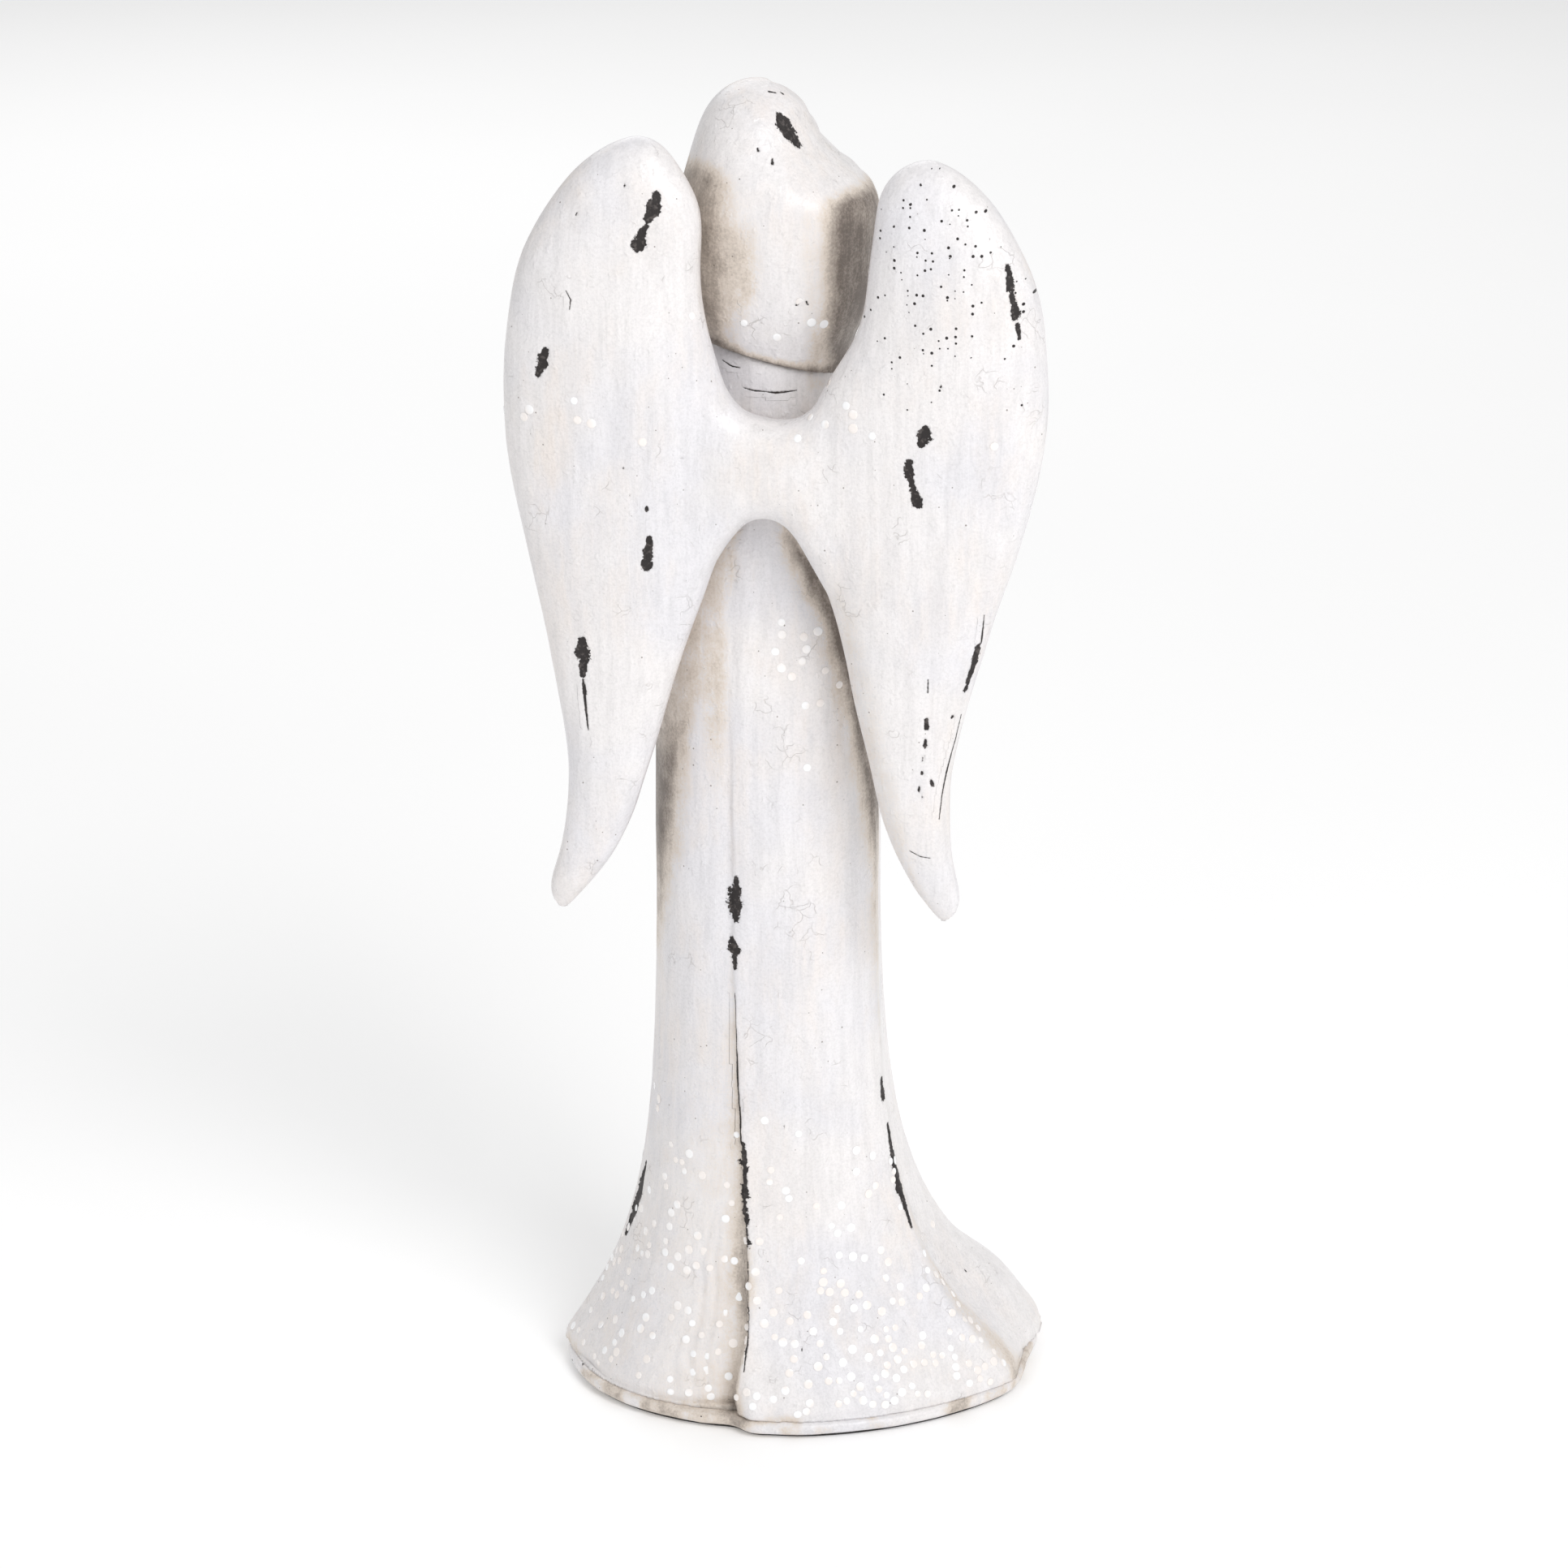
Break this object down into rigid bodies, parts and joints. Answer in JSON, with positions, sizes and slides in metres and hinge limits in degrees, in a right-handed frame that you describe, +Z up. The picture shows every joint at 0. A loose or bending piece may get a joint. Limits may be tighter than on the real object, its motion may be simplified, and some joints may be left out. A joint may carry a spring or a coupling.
{
  "type": "resin angel figurine",
  "caption": "Standing cast-resin angel in a long flared robe, with smooth folded wings, praying hands and a distressed white finish.",
  "frame": {"origin": "under the middle of the figurine, on the surface that it stands on", "axes": "+Z up, -Y the way the face looks, +Y the side of the wings, +X the angel's left hand side"},
  "size_m": [0.0772, 0.0587, 0.2011],
  "materials": {
    "robe_paint": "distressed white paint over dark primed resin, satin varnish",
    "wing_paint": "distressed white paint over dark primed resin, satin varnish",
    "head_paint": "distressed white paint with brown wash in the recesses, satin varnish",
    "arm_paint": "distressed white paint over dark primed resin, satin varnish",
    "base_resin": "thinly painted grey-white resin",
    "felt": "pressed dark grey felt",
    "dowel_wood": "bare birch dowel",
    "pin_steel": "plain wire"
  },
  "bodies": {
    "root": {"robe_body": "robe_paint", "base_plate": "base_resin", "base_felt": "felt", "head_and_hair": "head_paint", "neck_dowel": "dowel_wood", "wing_pair": "wing_paint", "wing_dowels": "dowel_wood", "left_arm": "arm_paint", "right_arm": "arm_paint", "praying_hands": "arm_paint", "arm_dowels": "pin_steel"}
  },
  "joints": []
}
